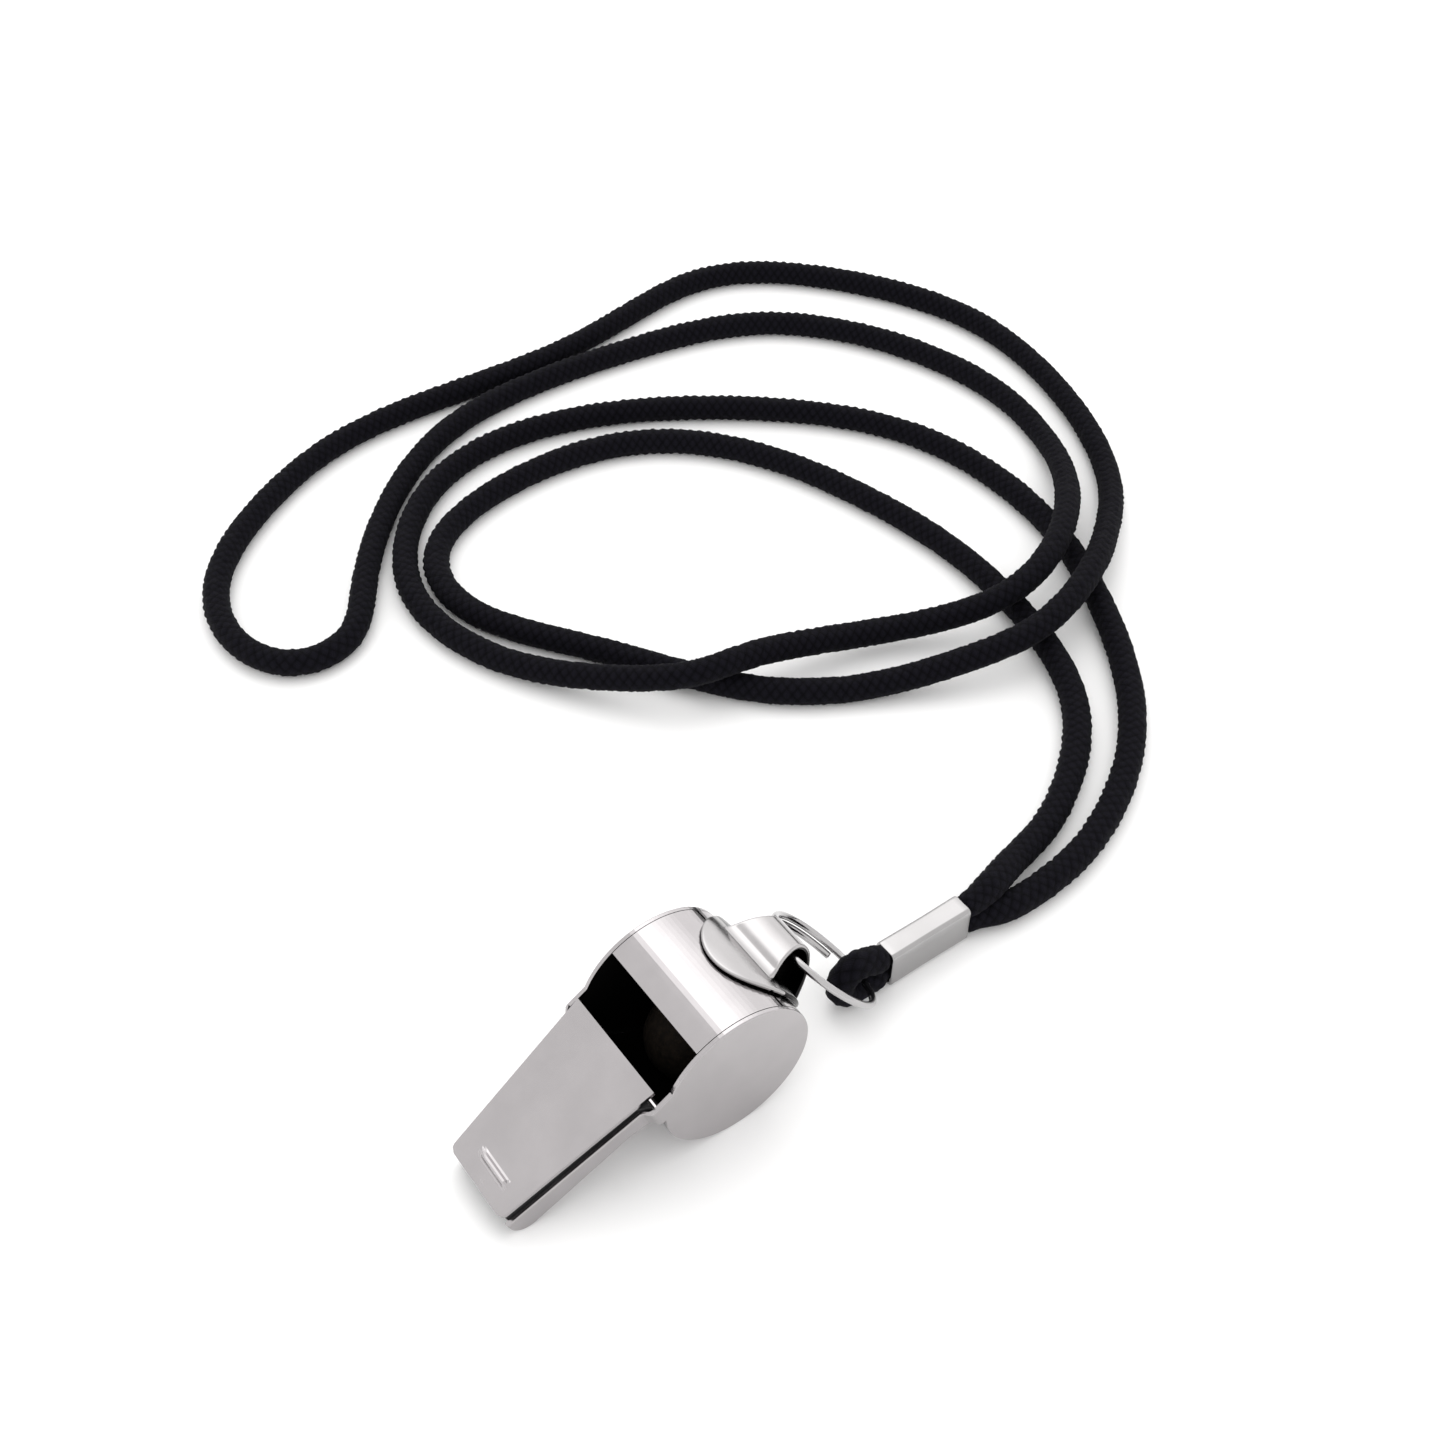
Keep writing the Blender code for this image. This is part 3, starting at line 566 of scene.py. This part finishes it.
def camera():
    data = bpy.data.cameras.new("camera")
    data.lens = CAMERA_LENS
    data.sensor_width = 36.0
    data.clip_start = 0.005
    data.clip_end = 20.0
    made = bpy.data.objects.new("camera", data)
    turn = (Matrix.Rotation(CAMERA_AZIMUTH, 4, "Z")
            @ Matrix.Rotation(0.5 * math.pi - CAMERA_ELEVATION, 4, "X")
            @ Matrix.Rotation(CAMERA_ROLL, 4, "Z"))
    made.matrix_world = Matrix.Translation(CAMERA_PLACE) @ turn
    bpy.context.scene.collection.objects.link(made)
    bpy.context.scene.camera = made


# ---------------------------------------------------------------- cord pieces


def neck_cord(finish):
    """The neck loop, squeezed where the ferrule holds both of its ends."""
    route = np.array(CORD_ROUTE) + np.array(SHIFT)
    curve, travelled = natural_spline(route)
    points, stations = resample(curve, travelled, STEP)
    points[:, 2] = np.maximum(points[:, 2], CORD_RADIUS + 0.02 * MM)
    length = stations[-1]
    from_end = np.minimum(stations, length - stations)
    held = abs(CORD_ROUTE[0][0] + SHIFT.x - FERRULE_LOW.x)
    swell = smooth_step((from_end - held + 0.1 * MM) / (1.1 * MM))
    relax = smooth_step((from_end - held - 0.8 * MM) / (6.0 * MM))
    mouth_radius = 1.72 * MM
    radii = GRIPPED_RADIUS + (mouth_radius - GRIPPED_RADIUS) * swell + (CORD_RADIUS - mouth_radius) * relax
    return braided_cord("neck_lanyard", points, stations, radii, finish), points, length


def ring_centreline():
    """The split ring's wire: one turn and a lap, its ends lying side by side."""
    centre = 0.5 * (RING_TOP + RING_BOTTOM)
    down = (RING_BOTTOM - RING_TOP).normalized()
    across = Vector((0.0, 1.0, 0.0))
    normal = down.cross(across)
    radius = 0.5 * (RING_TOP - RING_BOTTOM).length
    sweep = math.tau + RING_LAP
    points = []
    for k in range(RING_STEPS + 1):
        angle = RING_START + sweep * k / RING_STEPS
        lift = RING_PITCH * (sweep / math.tau) * (k / RING_STEPS - 0.5)
        points.append(centre + radius * (math.cos(angle) * down + math.sin(angle) * across) + lift * normal)
    return np.array([tuple(point) for point in points])


def clear_of_ring(vertices):
    """Press a cord's surface back from the ring's wire, over the ring's whole swing."""
    swing = JOINTS["ring_swing"]
    pivot = np.array(swing["pos_m"])
    wire = ring_centreline() - pivot
    wire = wire[np.linalg.norm(wire, axis=1) < WIRE_NEAR]
    for _ in range(3):
        for degrees in SWING_STOPS:
            turn = np.array(Matrix.Rotation(math.radians(degrees), 3, Vector(swing["axis"])))
            away = vertices[:, None, :] - (wire @ turn.T + pivot)[None, :, :]
            distance = np.linalg.norm(away, axis=2)
            nearest = distance.argmin(axis=1)
            rows = np.arange(len(vertices))
            gap = np.maximum(distance[rows, nearest], 0.001 * MM)
            push = np.maximum(WIRE_RADIUS + WIRE_ROOM - gap, 0.0)
            vertices = vertices + away[rows, nearest] * (push / gap)[:, None]
    return vertices


def cord_bight(finish):
    """The cord's short end loop round the ring's wire."""
    hole = Vector((RING_BOTTOM.x + 0.35 * MM, FERRULE_MID.y, RING_BOTTOM.z + 0.05 * MM))
    leg = 1.4 * MM
    butt = FERRULE_MID.x + 0.3 * MM
    mouth = FERRULE_HIGH.x
    upper, lower = FERRULE_MID.z + leg, FERRULE_MID.z - leg
    route = [(butt, hole.y, upper), (mouth - 2.5 * MM, hole.y, upper),
             (mouth + 0.4 * MM, hole.y, upper + 0.35 * MM)]
    for angle in (105.0, 70.0, 35.0, 0.0, -35.0, -70.0, -105.0):
        turn = math.radians(angle)
        route.append((hole.x + BIGHT_TURN * math.cos(turn), hole.y, hole.z + BIGHT_TURN * math.sin(turn)))
    route += [(mouth + 0.4 * MM, hole.y, lower), (mouth - 2.5 * MM, hole.y, lower), (butt, hole.y, lower)]
    curve, travelled = natural_spline(route)
    points, stations = resample(curve, travelled, 0.8 * STEP)
    out = smooth_step((points[:, 0] - mouth + 0.2 * MM) / (1.6 * MM))
    radii = GRIPPED_RADIUS + (BIGHT_RADIUS - GRIPPED_RADIUS) * out
    made = braided_cord("ring_bight", points, stations, radii, finish)
    vertices = np.array([vertex.co for vertex in made.data.vertices])
    made.data.vertices.foreach_set("co", clear_of_ring(vertices).ravel())
    made.data.update()
    return made


def ferrule_section(x, width, height, corner, crown, seam):
    """A rounded rectangle across the ferrule, crowned on its long sides, with a seam at the back."""
    points = []
    per_corner, per_side = 8, 9
    half_w, half_h = 0.5 * width - corner, 0.5 * height - corner
    corners = ((1, 1), (-1, 1), (-1, -1), (1, -1))
    for quarter, (sy, sz) in enumerate(corners):
        for k in range(per_corner + 1):
            angle = 0.5 * math.pi * (quarter + k / per_corner)
            points.append((sy * half_w + corner * math.cos(angle), sz * half_h + corner * math.sin(angle)))
        next_y, next_z = corners[(quarter + 1) % 4]
        start = points[-1]
        end_angle = 0.5 * math.pi * (quarter + 1)
        end = (next_y * half_w + corner * math.cos(end_angle), next_z * half_h + corner * math.sin(end_angle))
        for k in range(1, per_side):
            t = k / per_side
            y, z = start[0] + (end[0] - start[0]) * t, start[1] + (end[1] - start[1]) * t
            swell = crown * math.sin(math.pi * t)
            if quarter in (0, 2):
                z += math.copysign(swell, swell * z)
            else:
                y += math.copysign(swell, swell * y)
            if quarter == 1:
                y += seam * math.exp(-((z / FERRULE_SEAM) ** 2))
            points.append((y, z))
    return [(x, FERRULE_MID.y + y, FERRULE_MID.z + z) for y, z in points]


def ferrule(finish):
    """The crimped sleeve: crowned faces, eased corners, rolled lips and the fold's seam."""
    width = FERRULE_HIGH.y - FERRULE_LOW.y
    height = FERRULE_HIGH.z - FERRULE_LOW.z
    length = FERRULE_HIGH.x - FERRULE_LOW.x
    wall, lip, corner = FERRULE_WALL, FERRULE_LIP, FERRULE_CORNER
    outer, inner = [], []
    stops = [(0.0, lip), (0.35 * lip, 0.3 * lip), (lip, 0.0)]
    steps = 16
    for k in range(1, steps):
        stops.append((lip + (length - 2.0 * lip) * k / steps, 0.0))
    stops += [(length - lip, 0.0), (length - 0.35 * lip, 0.3 * lip), (length, lip)]
    for at, shrink in stops:
        share = at / length
        waist = FERRULE_WAIST * math.sin(math.pi * share) ** 2
        outer.append(ferrule_section(FERRULE_LOW.x + at, width - 2.0 * (shrink + waist),
                                     height - 2.0 * (shrink + 0.4 * waist), corner,
                                     FERRULE_CROWN, FERRULE_SEAM))
    for at in (length, 0.0):
        inner.append(ferrule_section(FERRULE_LOW.x + at, width - 2.0 * wall, height - 2.0 * wall,
                                     corner - 0.5 * wall, 0.0, 0.0))
    rows = outer + inner
    count = len(rows[0])
    vertices = [point for row in rows for point in row]
    faces = []
    for i in range(len(rows)):
        after = (i + 1) % len(rows)
        for k in range(count):
            j = (k + 1) % count
            faces.append((i * count + k, after * count + k, after * count + j, i * count + j))
    made = new_object("ferrule_sleeve", vertices, faces, finish)
    made.data.set_sharp_from_angle(angle=math.radians(50.0))
    return made


def hood_path(wall, fillet):
    """The hood's arch seen along the barrel: (round, out) points that end on the strap.

    A fillet sweeps the two feet out to meet the strap.
    """
    rest = LUG_RADIUS + (SHEET if fillet else 0.5 * SHEET)
    turn = np.pi * np.arange(801) / 800
    back = np.cos(turn) > 0.0
    span = np.where(back, HOOD_BACK_SPAN, HOOD_FRONT_SPAN) - wall
    power = 2.0 / HOOD_POWER
    across = HOOD_APEX + span * np.sign(np.cos(turn)) * np.abs(np.cos(turn)) ** power
    out = LUG_RADIUS + (HOOD_RISE - wall) * np.sin(turn) ** power
    drop = np.linspace(2.5 * MM, 0.0, 200)
    across = np.concatenate((np.full(200, across[0]), across, np.full(200, across[-1])))
    out = np.concatenate((out[0] - drop, out, out[-1] - drop[::-1]))
    radius = np.hypot(across, out)
    kept = radius >= rest
    across, out, radius = across[kept], out[kept], radius[kept]
    if fillet:
        short = np.clip(fillet - (radius - rest), 0.0, fillet)
        sweep = (fillet - np.sqrt(fillet**2 - short**2)) * np.where(across > HOOD_APEX, 1.0, -1.0)
        angle = np.arctan2(across, out) + sweep / radius
        across, out = radius * np.sin(angle), radius * np.cos(angle)
    travelled = np.concatenate(([0.0], np.cumsum(np.hypot(np.diff(across), np.diff(out)))))
    even = np.linspace(0.0, travelled[-1], HOOD_POINTS)
    return np.stack([np.interp(even, travelled, across), np.interp(even, travelled, out)], axis=1)


def lug_point(across, out, y):
    """A point from its distance round, out from the barrel's axis and along it."""
    x = out * math.cos(LUG_ANGLE) - across * math.sin(LUG_ANGLE)
    z = out * math.sin(LUG_ANGLE) + across * math.cos(LUG_ANGLE)
    return (BARREL_AXIS.x + x, BARREL_AXIS.y + y, BARREL_AXIS.z + z)


def lug(finish):
    """The stamped lug: an oval strap that follows the barrel, with a filleted hood open at both ends."""
    outer, inner = hood_path(0.0, HOOD_FILLET), hood_path(SHEET, 0.0)
    shares = [(-1.0, 0.4), (-0.99, 0.16), (-0.965, 0.0)] + [(0.09 * k, 0.0) for k in range(-10, 11)]
    shares += [(0.965, 0.0), (0.99, 0.16), (1.0, 0.4)]
    vertices, faces = [], []
    count = 2 * HOOD_POINTS
    for share, thin in shares:
        one = outer + (inner - outer) * thin
        two = inner + (outer - inner) * thin
        for across, out in np.concatenate((one, two[::-1])):
            lean = max(0.0, out - LUG_RADIUS) / HOOD_RISE
            half = HOOD_HALF_FOOT + (HOOD_HALF_ROOF - HOOD_HALF_FOOT) * lean
            vertices.append(lug_point(across, out, share * half))
    for i in range(len(shares) - 1):
        for k in range(count):
            j = (k + 1) % count
            faces.append((i * count + k, i * count + j, (i + 1) * count + j, (i + 1) * count + k))
    for start, flip in ((0, True), ((len(shares) - 1) * count, False)):
        for k in range(HOOD_POINTS - 1):
            quad = (start + k, start + k + 1, start + count - 2 - k, start + count - 1 - k)
            faces.append(tuple(reversed(quad)) if flip else quad)
    spokes = 144
    strap = [(0.02 + 0.94 * k / 24, SHEET - 0.1 * MM * max(0.0, (k - 20) / 4)) for k in range(25)]
    strap += [(0.98, 0.47 * MM), (0.994, 0.40 * MM), (1.0, 0.30 * MM), (1.0, 0.12 * MM)]
    strap += [(0.99 - 0.97 * k / 24, 0.0) for k in range(25)]
    base = len(vertices)
    for share, rise in strap:
        for k in range(spokes):
            round_way = share * STRAP_HALF_LENGTH * math.cos(math.tau * k / spokes) / LUG_RADIUS
            y = share * STRAP_HALF_WIDTH * math.sin(math.tau * k / spokes)
            radius = LUG_RADIUS + rise
            vertices.append(lug_point(radius * math.sin(round_way), radius * math.cos(round_way), y))
    for i in range(len(strap) - 1):
        for k in range(spokes):
            j = (k + 1) % spokes
            faces.append((base + i * spokes + k, base + (i + 1) * spokes + k,
                          base + (i + 1) * spokes + j, base + i * spokes + j))
    faces.append(tuple(base + k for k in range(spokes)))
    last = base + (len(strap) - 1) * spokes
    faces.append(tuple(last + k for k in reversed(range(spokes))))
    made = new_object("lug_stamping", vertices, faces, finish)
    bm = bmesh.new()
    bm.from_mesh(made.data)
    bmesh.ops.recalc_face_normals(bm, faces=bm.faces)
    bm.to_mesh(made.data)
    bm.free()
    made.data.set_sharp_from_angle(angle=math.radians(50.0))
    return made


def wire_ring(finish):
    """The split ring: one turn and a lap of round wire, its ends lying side by side."""
    return tube("wire_ring", ring_centreline(), WIRE_RADIUS, WIRE_SIDES, finish)


# ---------------------------------------------------------------- studio


def floor():
    size = 3.0
    corners = [(-size, -size, 0.0), (size, -size, 0.0), (size, size, 0.0), (-size, size, 0.0)]
    made = new_object("floor", corners, [(0, 1, 2, 3)], floor_paint())
    made.location.z = -0.02 * MM


def studio():
    """An even pale room with one broad soft panel overhead, behind the barrel.

    The panel ends crisply on the mouthpiece's side and fades out on the other.
    """
    room = Nodes(bpy.data.worlds.new("studio"))
    x, y, z = room.axes("Generated")
    lean = room.math("ARCTAN2", x, z)
    near_edge = room.spread(lean, math.radians(PANEL_EDGE), math.radians(PANEL_FULL), 0.0, 1.0)
    far_fade = room.spread(lean, math.radians(PANEL_FADE_END), math.radians(PANEL_FADE), PANEL_REST, 1.0)
    depth = room.math("MULTIPLY", room.spread(y, -0.95, -0.75, 0.0, 1.0),
                      room.spread(y, 0.05, -0.3, 0.0, 1.0))
    panel = room.math("MULTIPLY", room.math("MULTIPLY", near_edge, far_fade), depth)
    strength = room.math("ADD", room.math("MULTIPLY", panel, PANEL_GLOW), ROOM_GLOW)
    room.shader.inputs["Color"].default_value = (1.0, 0.995, 0.99, 1.0)
    room.link(strength, room.shader.inputs["Strength"])
    scene = bpy.context.scene
    scene.world = room.owner
    scene.view_settings.view_transform = "Standard"


# ---------------------------------------------------------------- build


def dress_cad():
    """Finishes for the CAD nodes that stay."""
    tone = (0.425, 0.407, 0.413)
    along_barrel = (1.0, 6.0, 1.0)
    along_body = (1.0, 1.0, 1.0)
    inner = BARREL_RADIUS - 0.5 * SHEET
    band = hollow_steel_painted_shade("barrel_steel", tone, 0.10, along_barrel, inner, CHEEK_Y)
    cheek = hollow_steel_painted_shade("cheek_steel", tone, 0.14, along_body, BARREL_RADIUS - 0.05 * MM,
                         CHEEK_Y - 0.5 * SHEET)
    plate = steel("plate_steel", tone, 0.14, along_body).owner
    finishes = {
        "barrel_band_upper": band,
        "barrel_band_lower": band,
        "side_plate_left": cheek,
        "side_plate_right": cheek,
        "mouthpiece_top_plate": plate,
        "mouthpiece_floor_plate": plate,
        "windway_liner": liner_painted_shade(),
        "pea": cork(),
    }
    for name, finish in finishes.items():
        mesh = NODES[name].data
        mesh.materials.clear()
        mesh.materials.append(finish)


def build():
    camera()
    yarn = braid()
    loop, path, length = neck_cord(yarn)
    bight = cord_bight(yarn)
    sleeve = ferrule(steel("ferrule_steel", (0.375, 0.368, 0.369), 0.15, (8.0, 1.0, 1.0)).owner)
    ring = wire_ring(steel("wire_steel", (0.45, 0.442, 0.445), 0.12, (1.0, 1.0, 1.0)).owner)
    stamping = lug(lug_steel("lug_steel", (0.425, 0.414, 0.416), 0.14, (1.0, 6.0, 1.0)))

    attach(loop, "lanyard")
    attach(bight, "lanyard")
    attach(sleeve, "lanyard")
    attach(ring, "ring")
    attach(stamping, "whistle")
    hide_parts("neck_cord")
    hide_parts("cord_bight")
    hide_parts("crimp_ferrule")
    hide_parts("split_ring")
    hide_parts("ring_lug")
    dress_cad()
    floor()
    studio()


build()
